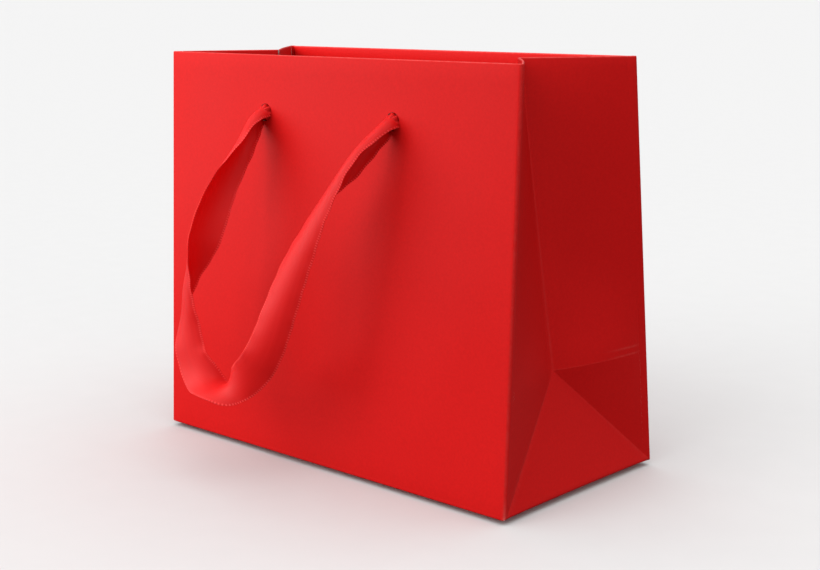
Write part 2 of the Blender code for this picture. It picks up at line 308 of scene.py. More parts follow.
def paper_sheet(name, grid, outward, wear=None):
    """A sheet of laminated paper. grid is its outer face, rows by columns; its back is bare."""
    grid = np.asarray(grid, float)
    rows, columns = grid.shape[:2]
    points = grid.reshape(-1, 3)
    if wear is None:
        wear = np.zeros(len(points))
    obj = add_mesh(name, points, grid_faces(rows, columns), PAPER_SIDES, outward, wear)
    solid = obj.modifiers.new("paper", "SOLIDIFY")
    solid.thickness = PAPER
    solid.offset = -1
    solid.use_even_offset = False
    solid.material_offset = 1
    solid.material_offset_rim = 2
    sharpen(obj)
    return obj


def sharpen(obj):
    """Keeps a sheet's cut edges crisp, so that its broad faces shade evenly up to them."""
    split = obj.modifiers.new("crisp", "EDGE_SPLIT")
    split.split_angle = CRISP_ANGLE


def apply_modifiers(obj):
    """Makes the shape that the modifiers give the object's own."""
    graph = bpy.context.evaluated_depsgraph_get()
    made = bpy.data.meshes.new_from_object(obj.evaluated_get(graph))
    obj.modifiers.clear()
    obj.data = made


# Materials


def new_material(name):
    """(material, its node tree, its shader)."""
    material = bpy.data.materials.new(name)
    material.use_nodes = True
    tree = material.node_tree
    shader = tree.nodes["Principled BSDF"]
    return material, tree, shader


def noise(tree, place, scale, detail, roughness=0.5):
    settings = {"Vector": place, "Scale": scale, "Detail": detail, "Roughness": roughness}
    return node(tree, "TexNoise", settings).outputs["Fac"]


def remap(tree, value, low, high, new_low, new_high):
    """The value, moved from the range low to high to the new one."""
    ends = {"From Min": low, "From Max": high, "To Min": new_low, "To Max": new_high}
    return node(tree, "MapRange", {"Value": value, **ends}).outputs["Result"]


def mix(tree, share, first, second, blend="MIX"):
    inputs = {"Fac": share, "Color1": first, "Color2": second}
    return node(tree, "MixRGB", inputs, blend_type=blend).outputs["Color"]


def calc(tree, operation, *values):
    return node(tree, "Math", dict(enumerate(values)), operation=operation).outputs[0]


def waves(tree, length, pitch):
    """A sine of this pitch along a length."""
    return calc(tree, "SINE", calc(tree, "MULTIPLY", length, math.tau / pitch))


def bump(tree, height, distance, strength, under=None):
    """A bumped normal; under is another bump that this one lies on."""
    inputs = {"Height": height, "Distance": distance, "Strength": strength}
    if under is not None:
        inputs["Normal"] = under
    return node(tree, "Bump", inputs).outputs[0]


def make_red_paper():
    """Matt laminated paper: a smooth film over faint fibres, paler where a fold is rubbed, and with
    painted highlights in pale red along the rim, the feet of the corners and the cross crease.
    """
    material, tree, shader = new_material("laminated_red_paper")
    place = node(tree, "TexCoord").outputs["Object"]
    broad = noise(tree, place, 14.0, 2.0)
    fibre = noise(tree, place, 900.0, 5.0)
    reds = mix(tree, broad, RED_DEEP, RED_WARM)
    speck = remap(tree, fibre, 0.3, 0.75, 0.94, 1.04)
    red = mix(tree, 1.0, reds, speck, "MULTIPLY")
    breaks = remap(tree, noise(tree, place, 420.0, 6.0, 0.7), 0.38, 0.68, 0.25, 1.0)
    # paler where the paper is rubbed, and where highlights are painted on
    worn_and_lit = node(tree, "Attribute", attribute_name="wear").outputs["Fac"]
    pale = calc(tree, "MULTIPLY", worn_and_lit, breaks)
    tree.links.new(mix(tree, pale, red, RED_WORN_AND_HIGHLIGHT), shader.inputs["Base Color"])
    gloss = remap(tree, broad, 0.3, 0.7, 0.40, 0.47)
    tree.links.new(calc(tree, "MULTIPLY_ADD", pale, 0.2, gloss), shader.inputs["Roughness"])
    shader.inputs["Specular IOR Level"].default_value = PAPER_GLOSS
    soft = bump(tree, noise(tree, place, 22.0, 1.0, 0.3), 0.0016, 0.35)
    tree.links.new(bump(tree, fibre, 0.00004, 0.5, soft), shader.inputs["Normal"])
    return material


def make_bare_paper(name, light, dark):
    """Uncoated paper, slightly mottled, with short fibres."""
    material, tree, shader = new_material(name)
    place = node(tree, "TexCoord").outputs["Object"]
    mottle = noise(tree, place, 160.0, 5.0, 0.65)
    fibre = noise(tree, place, 1500.0, 4.0, 0.7)
    both = mix(tree, 0.5, mottle, fibre)
    tree.links.new(mix(tree, both, dark, light), shader.inputs["Base Color"])
    tree.links.new(remap(tree, fibre, 0.3, 0.7, 0.78, 0.92), shader.inputs["Roughness"])
    tree.links.new(bump(tree, fibre, 0.00006, 0.6), shader.inputs["Normal"])
    shader.inputs["Specular IOR Level"].default_value = 0.2
    return material


def make_satin():
    """Woven satin: fine ribs across, a soft sheen, and a stitched edge down each side."""
    material, tree, shader = new_material("red_satin_ribbon")
    place = node(tree, "UVMap", uv_map="UVMap").outputs[0]
    split = node(tree, "SeparateXYZ", {0: place})
    along, across = split.outputs[0], split.outputs[1]
    weave = calc(tree, "MULTIPLY", waves(tree, along, RIB_PITCH), waves(tree, across, THREAD_PITCH))
    edge = remap(tree, calc(tree, "ABSOLUTE", across), *STITCH_EDGE, 0.0, 1.0)
    stitch = remap(tree, waves(tree, along, STITCH_PITCH), -0.2, 0.6, 0.0, 1.0)
    dotted = calc(tree, "MULTIPLY", edge, stitch)
    streaks = node(tree, "Mapping", {"Vector": place, "Scale": (12.0, 900.0, 1.0)}).outputs[0]
    streak = noise(tree, streaks, 1.0, 3.0)
    base = mix(tree, streak, SATIN_DEEP, SATIN_LIGHT)
    woven = mix(tree, 1.0, base, remap(tree, weave, -1.0, 1.0, 0.9, 1.08), "MULTIPLY")
    tree.links.new(mix(tree, dotted, woven, SATIN_STITCH), shader.inputs["Base Color"])
    rough = remap(tree, streak, 0.3, 0.7, 0.40, 0.50)
    tree.links.new(calc(tree, "MULTIPLY_ADD", edge, 0.2, rough), shader.inputs["Roughness"])
    fine = bump(tree, weave, 0.00003, 0.35)
    tree.links.new(bump(tree, dotted, 0.0001, 0.5, fine), shader.inputs["Normal"])
    shader.inputs["Specular IOR Level"].default_value = 0.14
    shader.inputs["Subsurface Weight"].default_value = 0.5
    shader.inputs["Subsurface Scale"].default_value = 0.0016
    shader.inputs["Sheen Weight"].default_value = 0.035
    shader.inputs["Sheen Roughness"].default_value = 0.35
    shader.inputs["Sheen Tint"].default_value = SHEEN_TINT
    return material


red_paper = make_red_paper()
white_paper = make_bare_paper("uncoated_white_paper", (0.86, 0.84, 0.81, 1), (0.70, 0.68, 0.66, 1))
paper_edge = make_bare_paper("cut_paper_edge", (0.84, 0.62, 0.58, 1), (0.62, 0.34, 0.32, 1))
grey_board = make_bare_paper("grey_board", (0.52, 0.49, 0.44, 1), (0.30, 0.28, 0.25, 1))
satin = make_satin()
PAPER_SIDES = (red_paper, white_paper, paper_edge)


# The camera, the light and the floor


def add_camera():
    """The camera where the photo was taken from."""
    data = bpy.data.cameras.new("camera")
    data.lens = CAMERA_LENS
    data.sensor_width = CAMERA_SENSOR
    camera = add_object("camera", data)
    flat = math.cos(CAMERA_PITCH)
    ahead = Vector(
        (math.sin(CAMERA_YAW) * flat, math.cos(CAMERA_YAW) * flat, math.sin(CAMERA_PITCH))
    )
    side = ahead.cross(Vector((0, 0, 1))).normalized()
    top = side.cross(ahead)
    rolled_side = math.cos(CAMERA_ROLL) * side + math.sin(CAMERA_ROLL) * top
    rolled_top = -math.sin(CAMERA_ROLL) * side + math.cos(CAMERA_ROLL) * top
    turn = Matrix((rolled_side, rolled_top, -ahead)).transposed().to_4x4()
    turn.translation = Vector(CAMERA_PLACE)
    camera.matrix_world = turn
    bpy.context.scene.camera = camera


def aim(obj, place, target):
    obj.location = place
    obj.rotation_euler = (Vector(target) - Vector(place)).to_track_quat("-Z", "Y").to_euler()


def add_light(name, place, target, size, power):
    """A soft box."""
    data = bpy.data.lights.new(name, "AREA")
    data.shape = "RECTANGLE"
    data.size, data.size_y = size
    data.energy = power
    light = add_object(name, data)
    aim(light, place, target)
    return light


def shine_only_on(light, pieces):
    """Keeps a near light off the floor, which would show its pool."""
    lit = bpy.data.collections.new("lit_by_" + light.name)
    for piece in pieces:
        lit.objects.link(piece)
    light.light_linking.receiver_collection = lit


def add_far_light(name, place, strength, spread):
    """A broad light from far away, which lights the whole floor evenly."""
    data = bpy.data.lights.new(name, "SUN")
    data.energy = strength
    data.angle = math.radians(spread)
    aim(add_object(name, data), place, (0, 0, 0))


def add_world():
    """A room that is paler above, with an even backdrop for the camera."""
    world = bpy.data.worlds.new("studio")
    bpy.context.scene.world = world
    world.use_nodes = True
    tree = world.node_tree
    around = node(tree, "TexCoord").outputs["Generated"]
    height = node(tree, "SeparateXYZ", {0: around}).outputs[2]
    room = mix(tree, remap(tree, height, -0.5, 0.9, 0.0, 1.0), ROOM_LOW, ROOM_HIGH)
    seen = node(tree, "LightPath").outputs["Is Camera Ray"]
    shade = mix(tree, seen, room, BACKDROP_SHADE)
    tree.links.new(shade, tree.nodes["Background"].inputs["Color"])


def add_floor():
    corners = [(x * FLOOR_HALF, y * FLOOR_HALF, 0) for x, y in ((-1, -1), (1, -1), (1, 1), (-1, 1))]
    material, tree, shader = new_material("pale_floor")
    place = node(tree, "TexCoord").outputs["Object"]
    tone = mix(tree, noise(tree, place, 60.0, 3.0), FLOOR_DARK, FLOOR_PALE)
    tree.links.new(tone, shader.inputs["Base Color"])
    shader.inputs["Roughness"].default_value = 0.9
    shader.inputs["Specular IOR Level"].default_value = 0.0
    floor = add_mesh("floor", corners, [(0, 1, 2, 3)], [material])
    floor.location.z = -FLOOR_DROP
    floor.visible_glossy = False
    floor.visible_diffuse = False
    floor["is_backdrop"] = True


def add_studio():
    scene = bpy.context.scene
    scene.view_settings.view_transform = "Standard"
    add_camera()
    add_world()
    add_floor()
    add_far_light("key", (-0.16, -0.90, 0.60), 0.85, 45)
    add_far_light("top", (0.0, 0.0, 1.0), 1.55, 90)
    add_far_light("fill", (0.78, -0.62, 0.40), 0.50, 60)
    return [
        add_light("left_box", (-0.44, -0.43, 0.26), (-0.11, 0, 0.10), (0.5, 0.6), 3.6),
        add_light("rim_box", (-0.10, -0.42, 0.42), (0, 0.03, 0.17), (0.4, 0.2), 1.1),
    ]


# The faces of the bag


def lean_of(end):
    return FRONT_LEAN if end == FRONT else BACK_LEAN


def wall_face(end, x, z):
    """A point of the outer face of the front or back panel."""
    return np.array((x, end * (BASE_DEPTH / 2 - lean_of(end) * z / HEIGHT), z))


def wall_inward(end):
    """The direction into the bag, square to the front or back panel."""
    return unit(np.array((0.0, -end * HEIGHT, -lean_of(end))))


def middle_y(z):
    return (wall_face(FRONT, 0, z)[1] + wall_face(BACK, 0, z)[1]) / 2


def half_depth(z):
    """Half the distance between the front and back panels at this height."""
    return wall_face(BACK, 0, z)[1] - middle_y(z)


def tuck(z):
    """How far the centre crease is pushed in at this height."""
    share = max(0.0, (z - TIP[1]) / (HEIGHT - TIP[1]))
    return TIP[0] + (RIM_TUCK - TIP[0]) * share**TUCK_GROWTH


def crease_point(side, z):
    return np.array((side * (WIDTH / 2 - tuck(z)), middle_y(z), z))


def corner_shape(z):
    """(how much the half turns in, how far the sharp corner would stand out) at this height."""
    turn = FIRST_TURN
    for _ in range(3):
        overrun = CORNER_RADIUS * (math.tan((math.pi / 2 + turn) / 2) - 1)
        turn = math.atan2(tuck(z) + overrun, half_depth(z))
    return turn, overrun


def corner_spot(i, z):
    """Column i of a corner seen in plan: (x, depth behind the wall's face), and the way in."""
    turn, overrun = corner_shape(z)
    corner = np.array((WIDTH / 2 + overrun, 0.0))
    if i == 0:
        return np.array((WIDTH / 2 - CORNER_REACH, 0.0)), np.array((0.0, 1.0))
    if i <= CORNER_ARC:
        angle = (math.pi / 2 + turn) * (i - 1) / (CORNER_ARC - 1)
        out = np.array((math.sin(angle), -math.cos(angle)))
        centre = np.array((WIDTH / 2 - CORNER_RADIUS, CORNER_RADIUS))
        return centre + CORNER_RADIUS * out, -out
    leave = np.array((-math.sin(turn), math.cos(turn)))
    start = CORNER_RADIUS * math.tan((math.pi / 2 + turn) / 2)
    finish = HINGE_DEPTH / math.cos(turn) + PAST_HINGE
    length = start + (finish - start) * (i - CORNER_ARC) / 3
    return corner + leave * length, np.array((-math.cos(turn), -math.sin(turn)))


def corner_point(side, end, i, z):
    (x, depth), _ = corner_spot(i, z)
    return wall_face(end, side * x, z) - end * depth * np.array((0.0, 1.0, 0.0))


def corner_inward(side, end, i, z=HEIGHT):
    """The level direction into the bag at column i."""
    _, way = corner_spot(i, z)
    return np.array((side * way[0], -end * way[1], 0.0))


def corner_low(i):
    """How high the bottom triangle's crease is where it meets this column."""
    (_, depth), _ = corner_spot(i, CORNER_FOOT)
    return TIP[1] * max(0.0, depth) / (BASE_DEPTH / 2)


def bow(p, z):
    """How far a gusset half stands in from flat: softly hollow low down, proud near the rim."""
    sway = math.sin(math.pi * (z - TIP[1]) / (HEIGHT - TIP[1]) * 1.2 + 0.3)
    return BOW * math.sin(math.pi * p) * sway


def half_row(side, end, z):
    """The points of a gusset half across its width at one height, rounded into the crease."""
    start = corner_point(side, end, CORNER_LAST, z)
    goal = crease_point(side, z)
    width = np.linalg.norm(goal - start)
    inward = corner_inward(side, end, CORNER_LAST, z)
    ease_in = float(ease(TIP[1], TIP[1] + 0.02, z))
    points = []
    for p in np.linspace(0, 1 - CREASE_SOFT / width, HALF_COLUMNS):
        points.append(start + (goal - start) * p + inward * bow(p, z) * ease_in)
    last = points[-1]
    ridge = goal + np.array((side * CREASE_PROUD, 0.0, 0.0))
    pull = last + (goal - last) * (ridge[0] - last[0]) / (goal[0] - last[0])
    for t in (0.3, 0.6, 0.85, 1.0):
        points.append((1 - t) ** 2 * last + 2 * t * (1 - t) * pull + t**2 * ridge)
    return np.array(points)


def row_shares(side, end):
    """How far along the lower crease each column of a half is, from the corner to the tip."""
    row = half_row(side, end, TIP[1])
    lengths = np.concatenate([[0], np.cumsum(np.linalg.norm(np.diff(row, axis=0), axis=1))])
    return lengths / lengths[-1]


def foot_line(side, end):
    """The bottom triangle's crease, from the corner strip's edge to the tip."""
    start = corner_point(side, end, CORNER_LAST, corner_low(CORNER_LAST))
    tip = half_row(side, end, TIP[1])[-1]
    return np.array([start + (tip - start) * share for share in row_shares(side, end)])


def cross_line(side):
    """The cross crease of the gusset's back half, from the corner to the tip."""
    heights = FOLD_HEIGHT + (TIP[1] - FOLD_HEIGHT) * row_shares(side, BACK)
    line = np.array([half_row(side, BACK, z)[i] for i, z in enumerate(heights)])
    shares = row_shares(side, BACK)
    line[:, 0] += side * CROSS_RIDGE * np.sin(math.pi * shares) ** 0.7
    return line


def upper_steps():
    """Shares of the height of a back half, close together over the cross crease, the steps of its
    painted highlight lines among them.
    """
    close = np.array((0.0, 0.004, 0.009, 0.015, 0.022, 0.028, 0.034, 0.042, 0.055, 0.075))
    return np.concatenate([close, np.linspace(0.1, 1, 28)])


def half_rows(side, end):
    """The outer face of a gusset half from its lower crease to the rim, with how pale each point
    is: rubbed creases, and painted highlights along the cross crease.
    """
    top = HEIGHT - RIM_ROLL
    if end == FRONT:
        foot, join = foot_line(side, end), half_row(side, end, TIP[1])
        rows = [foot + (join - foot) * step for step in np.linspace(0, 1, 9)[:-1]]
        rows += [half_row(side, end, z) for z in np.linspace(TIP[1], top, 34)]
        wear = np.zeros((len(rows), len(foot)))
        wear[:1] = LOW_CREASE_WEAR
    else:
        shares = row_shares(side, end)
        lows = FOLD_HEIGHT + (TIP[1] - FOLD_HEIGHT) * shares
        flat = np.array([half_row(side, end, z)[i] for i, z in enumerate(lows)])
        lift = cross_line(side) - flat
        rows, wear = [], []
        for step in upper_steps():
            heights = lows + (top - lows) * step
            row = np.array([half_row(side, end, z)[i] for i, z in enumerate(heights)])
            rows.append(row + lift * (1 - float(ease(0.0, 0.35, step))))
            # painted highlight lines just above the cross crease, fading towards the tip, and a
            # painted highlight on the crease itself
            highlight_line = HIGHLIGHT_LINES if step in HIGHLIGHT_LINE_STEPS else 0.0
            crease_highlight = CROSS_CREASE_HIGHLIGHT if step == 0.0 else 0.0
            wear.append(highlight_line * (1 - ease(0.2, 0.5, shares)) + crease_highlight)
        wear = np.array(wear)
    wear[:, -2:] = np.maximum(wear[:, -2:], CREASE_WEAR)
    return np.array(rows), wear


def foot_in(z, radius=FOOT_ROLL):
    """How far the rounded fold at the foot draws in at this height."""
    drop = min(radius, max(0.0, radius - z))
    return radius - math.sqrt(radius**2 - drop**2)


def side_roll(y):
    """The radius of the fold under a gusset: broad, and tight only at the two corners."""
    return SIDE_ROLL * max(0.0, 1 - (y / (BASE_DEPTH / 2)) ** 2) ** 0.3


def climb(low, top, rows=26):
    """Heights from low to top, close together where the foot is rounded."""
    foot = FOOT_ROLL * (1 - np.cos(np.linspace(0, math.pi / 2, 7)))
    shares = np.concatenate([foot / top, np.linspace(FOOT_ROLL / top, 1, rows)[1:]])
    return low + (top - low) * shares


def rim_turns():
    return np.linspace(0, math.pi, 9)[1:]


# how pale the rim's fold is across its roll: rubbed paper and a painted highlight
def rim_wear_and_highlight(turn):
    return RIM_WEAR_AND_HIGHLIGHT * math.sin(turn)


def rolled(place, inward, lows, stack):
    """Outer face, rolled rim and hem as one grid of points, with how pale each point is: along the
    rim, rubbed paper and a painted highlight.
    """
    top = HEIGHT - RIM_ROLL
    count = len(lows)
    grid, wear = [], []
    for heights in np.transpose([climb(low, top) for low in lows]):
        grid.append([place(i, z) + inward[i] * foot_in(z) for i, z in enumerate(heights)])
        wear.append([0.0] * count)
    rim = np.array(grid[-1])
    depth = np.array([inward[i] * stack[i] for i in range(count)])
    # the rim's fold is paler: rubbed paper and a painted highlight
    for turn in rim_turns():
        grid.append(rim + depth / 2 * (1 - math.cos(turn)) + UP * RIM_ROLL * math.sin(turn))
        wear.append([rim_wear_and_highlight(turn)] * count)
    for z in np.linspace(top, HEIGHT - HEM, 9)[1:]:
        grid.append([place(i, z) + depth[i] for i in range(count)])
        wear.append([0.0] * count)
    return np.array(grid), np.array(wear)


def face_out(obj, outward):
    """Turns the mesh so that its first face, low on the outer side, points outward."""
    if obj.data.polygons[0].normal.dot(Vector(outward)) < 0:
        obj.data.flip_normals()


def punch(obj, end):
    """Punches the two ribbon holes through a wall, and keeps its cut edges crisp."""
    obj.modifiers.remove(obj.modifiers["crisp"])
    for x in (-HOLE_X, HOLE_X):
        bpy.ops.mesh.primitive_cylinder_add(vertices=40, radius=HOLE_RADIUS, depth=CUTTER_LENGTH)
        cutter = bpy.context.object
        cutter.location = wall_face(end, x, HOLE_Z)
        cutter.rotation_euler = Vector(wall_inward(end)).to_track_quat("Z", "Y").to_euler()
        cutter.data.materials.append(paper_edge)
        bpy.context.view_layer.update()
        cut = obj.modifiers.new("hole", "BOOLEAN")
        cut.object = cutter
        cut.solver = "EXACT"
        apply_modifiers(obj)
        bpy.data.objects.remove(cutter)
    obj.data.shade_smooth()
    obj.data.set_sharp_from_angle(angle=CRISP_ANGLE)


def add_wall(name, end, body, low, nodes):
    """A panel from low up to the rim, with its hem; it is thinner past the rim board's end."""
    board_end = WIDTH / 2 - HEM_INSET + BOARD_CLEAR
    ends = np.linspace(board_end, WIDTH / 2 - CORNER_REACH, 6)
    middle = np.linspace(-board_end, board_end, WALL_COLUMNS)[1:-1]
    xs = np.concatenate([-ends[::-1], middle, ends])
    thin = ease(ends[0], ends[-1], np.abs(xs))
    stack = WALL_STACK + (CORNER_STACK - WALL_STACK) * thin
    inward = [wall_inward(end)] * len(xs)
    grid, wear = rolled(lambda i, z: wall_face(end, xs[i], z), inward, [low] * len(xs), stack)
    obj = paper_sheet(name, grid, None, wear)
    face_out(obj, -wall_inward(end))
    punch(obj, end)
    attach(obj, body)
    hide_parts(*nodes)


def corner_wear_and_highlight(grid):
    """Paler spots down a corner's ridge, most of all at its foot: rubbed paper, and at the foot
    also a painted highlight.
    """
    ridge = np.exp(-(((np.arange(grid.shape[1]) - CORNER_ARC / 2) / RIDGE_SPREAD) ** 2))
    # paler still at the foot: chipped paper and a painted highlight
    low = np.clip(1 - grid[..., 2] / FOOT_MARK_HEIGHT, 0, 1)
    return ridge * (RIDGE_WEAR + FOOT_WEAR_AND_HIGHLIGHT * low)


def bend_corner(obj, side, end, wall):
    """The strip round the corner left open in the linkage rides with its wall; the other strips
    stay where they are.
    """
    if (side, end) == (LEFT, FRONT):
        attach(obj, wall)
        return
    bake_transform(obj)


def add_corner(name, side, end, wall, low=0.0):
    """The strip round a corner crease, from the wall to the gusset half, with its rim."""
    count = CORNER_LAST + 1
    lows = [max(low, corner_low(i)) for i in range(count)]
    inward = [corner_inward(side, end, i) for i in range(count)]
    grid, wear = rolled(
        lambda i, z: corner_point(side, end, i, z), inward, lows, [CORNER_STACK] * count
    )
    obj = paper_sheet(name, grid, None, np.maximum(wear, corner_wear_and_highlight(grid)))
    face_out(obj, (0, end, 0))
    bend_corner(obj, side, end, wall)


def add_lower_corner(name, side, wall):
    """The corner strip below the cross crease of the back."""
    columns = []
    for i in range(CORNER_LAST + 1):
        inward = corner_inward(side, BACK, i)
        heights = climb(corner_low(i), FOLD_HEIGHT, LOWER_ROWS)
        columns.append([corner_point(side, BACK, i, z) + inward * foot_in(z) for z in heights])
    grid = np.array(columns).transpose(1, 0, 2)
    obj = paper_sheet(name, grid, None, corner_wear_and_highlight(grid))
    face_out(obj, (0, 1, 0))
    bend_corner(obj, side, BACK, wall)


def half_plane(side, end):
    """(a point, the inward normal) of the plane that a gusset half folds flat on."""
    stub = HINGE_DEPTH - PAPER - GAP
    x = side * (WIDTH / 2 - stub * math.sin(GUSSET_TURN))
    depth = end * np.array((0.0, HINGE_DEPTH, 0.0))
    low, high = [wall_face(end, x, z) - depth for z in HALF_LEVELS]
    leave = np.array((-side * math.sin(GUSSET_TURN), -end * math.cos(GUSSET_TURN), 0.0))
    normal = unit(np.cross(high - low, leave))
    return low, normal if normal[0] * side < 0 else -normal


def add_half(name, side, end, body, nodes):
    """A gusset half with its rolled rim, and its hem as a piece of its own."""
    anchor, inward = half_plane(side, end)
    rows, wear = half_rows(side, end)
    rim = rows[-1]
    rolls = [
        rim + inward * CORNER_STACK / 2 * (1 - math.cos(turn)) + UP * RIM_ROLL * math.sin(turn)
        for turn in rim_turns()
    ]
    # the rim's fold is paler: rubbed paper and a painted highlight
    roll_wear_and_highlight = [[rim_wear_and_highlight(turn)] * len(rim) for turn in rim_turns()]
    grid = np.concatenate([rows, np.array(rolls)])
    obj = paper_sheet(name, grid, None, np.concatenate([wear, np.array(roll_wear_and_highlight)]))
    face_out(obj, -inward)
    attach(obj, body)
    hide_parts(*nodes)
    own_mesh(obj)
    heights = np.linspace(HEIGHT - RIM_ROLL, HEIGHT - HEM, 10)
    hem_rows = [half_row(side, end, z) + inward * CORNER_STACK for z in heights]
    hem = paper_sheet(name + "_hem", hem_rows, inward)
    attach(hem, body)
    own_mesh(hem)


def add_corner_triangle(name, side, body, nodes):
    """The small triangle under the cross crease of a gusset's back half."""
    top, foot = cross_line(side), foot_line(side, BACK)
    rows = [top + (foot - top) * step for step in np.linspace(0, 1, LOWER_ROWS)]
    obj = paper_sheet(name, rows, (side, 0, 0))
    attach(obj, body)
    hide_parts(*nodes)
    anchor, inward = half_plane(side, BACK)
    anchor = anchor + inward * CORNER_LIFT
    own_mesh(obj)


def add_bottom_triangle(name, side, body, nodes):
    """The triangle that leans in from the foot of a gusset."""
    folded = 4
    edges = []
    for end in (FRONT, BACK):
        columns = range(CORNER_RIDGE, CORNER_LAST)
        corner = [corner_point(side, end, i, corner_low(i)) for i in columns]
        edges.append(np.array(corner + list(foot_line(side, end))))
    shares = np.linspace(0, 1, 25)
    rows = np.array([[a + (b - a) * u for u in shares] for a, b in zip(*edges)])
    for point in rows.reshape(-1, 3):
        point[0] -= side * foot_in(point[2], side_roll(point[1]))
    wear = np.zeros(rows.shape[:2])
    wear[:folded] = FOLD_WEAR
    wear[folded:, 0] = wear[folded:, -1] = CREASE_WEAR
    obj = paper_sheet(name, rows, (side, 0, 0.3), wear)
    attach(obj, body)
    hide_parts(*nodes)
    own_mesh(obj)


def add_back_lower():
    """The back panel below the cross crease."""
    half = WIDTH / 2 - CORNER_REACH
    xs = np.linspace(-half, half, WALL_COLUMNS + 2)
    rows = [
        [wall_face(BACK, x, z) + wall_inward(BACK) * foot_in(z) for x in xs]
        for z in climb(0.0, FOLD_HEIGHT, LOWER_ROWS)
    ]
    lower = paper_sheet("back_lower_paper", rows, (0, 1, 0))
    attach(lower, "back_lower_wall")
    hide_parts("back_lower_panel")


def add_long_flap(name, end, rise):
    """A glued flap of the base. rise is how high it lies once it is over the other one."""
    free = BASE_DEPTH / 2 - FLAP_REACH
    lap = -free
    rows = []
    for y in np.linspace(BASE_DEPTH / 2 - FOOT_ROLL, free, 46):
        cut = max(0.0, free + FLAP_CUT - y)
        z = rise * float(ease(0.0, LAP_RAMP, lap + LAP_RAMP / 2 - y))
        half = WIDTH / 2 - FLAP_SIDE - max(cut, side_roll(y))
        rows.append([(x, end * y, z) for x in np.linspace(-half, half, 41)])
    flap = paper_sheet(name, rows, (0, 0, -1))
    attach(flap, "base")
    return flap


def add_base():
    outer = add_long_flap("base_outer_paper", FRONT, 0.0)
    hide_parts("base_outer_flap")
    inner = add_long_flap("base_inner_paper", BACK, PAPER + GAP)
    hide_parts("base_inner_flap")


def paint_cad_node(name, material):
    for slot in bpy.data.objects[name].material_slots:
        slot.material = material


def paint_flat_pieces():
    """The flat boards and tabs keep the CAD's own shape."""
    for name in ("base_board", "front_top_board", "back_top_board"):
        paint_cad_node(name, grey_board)
    for name in ("base_left_flap", "base_right_flap", "side_seam_tab"):
        paint_cad_node(name, white_paper)


def add_bag():
    add_base()
    paint_flat_pieces()
    add_wall("front_wall_paper", FRONT, "front_wall", 0.0, ["front_panel", "front_top_hem"])
    add_wall("back_wall_paper", BACK, "back_wall", FOLD_HEIGHT, ["back_panel", "back_top_hem"])
    add_back_lower()
    for word, side in (("right", RIGHT), ("left", LEFT)):
        fore, rear = f"{word}_gusset_fore_half", f"{word}_gusset_rear_half"
        corner, bottom = f"{word}_corner_fold", f"{word}_bottom_fold"
        front_nodes = [f"{word}_gusset_front", f"{word}_gusset_front_hem"]
        back_nodes = [f"{word}_gusset_back", f"{word}_gusset_back_hem"]
        add_half(f"{word}_gusset_fore_paper", side, FRONT, fore, front_nodes)
        add_half(f"{word}_gusset_rear_paper", side, BACK, rear, back_nodes)
        add_corner(f"{word}_front_corner", side, FRONT, "front_wall")
        add_corner(f"{word}_back_corner", side, BACK, "back_wall", FOLD_HEIGHT)
        add_lower_corner(f"{word}_lower_corner", side, "back_lower_wall")
        add_corner_triangle(f"{word}_corner_paper", side, corner, [f"{word}_corner_triangle"])
        add_bottom_triangle(f"{word}_bottom_paper", side, bottom, [f"{word}_bottom_triangle"])


# The ribbons


def through(points, steps):
    """Points on a smooth curve through the given ones, the curve of Catmull and Rom."""
    points = [np.asarray(point, float) for point in points]
    ends = [2 * points[0] - points[1], *points, 2 * points[-1] - points[-2]]
    found = []
    for before, start, end, after in zip(ends, ends[1:], ends[2:], ends[3:]):
        for i in range(steps):
            t = i / steps
            pull = 2 * start + (end - before) * t
            bend = (2 * before - 5 * start + 4 * end - after) * t**2
            turn = (3 * start - before - 3 * end + after) * t**3
            found.append((pull + bend + turn) / 2)
    return np.array([*found, points[-1]])


def ribbon_frames(route):
    """The middle line, and at each of its points the way across, the hollow side and the turn."""
    middles = through([point for point, _, _ in route], RIBBON_STEPS)
    towards = through([unit(np.array(way, float)) for _, way, _ in route], RIBBON_STEPS)
    turns = through([(math.radians(turn),) for _, _, turn in route], RIBBON_STEPS)[:, 0]
    tangents = np.gradient(middles, axis=0)
    frames = []
    for i, middle in enumerate(middles):
        tangent = unit(tangents[i])
        facing = unit(towards[i] - towards[i] @ tangent * tangent)
        side = np.cross(facing, tangent)
        frames.append((middle, side, facing, max(turns[i], FLATTEST_TURN)))
    return middles, frames


def ribbon_section(side, facing, turn):
    """A cross section: an arc as long as the ribbon is wide, hollow on the facing side."""
    radius = RIBBON_WIDTH / turn
    angles = np.linspace(-turn / 2, turn / 2, RIBBON_COLUMNS)
    across = radius * np.sin(angles)
    deep = radius * (1 - np.cos(angles))
    section = np.outer(across, side) + np.outer(deep, facing)
    return section - section.mean(axis=0)


def ripple(length, share):
    """The small unevenness of a woven edge, out of step between the two edges."""
    wave = math.sin(math.tau * length / RIPPLE_LENGTH + 2.0 * np.sign(share))
    return RIPPLE_HEIGHT * (2 * abs(share)) ** 3 * wave


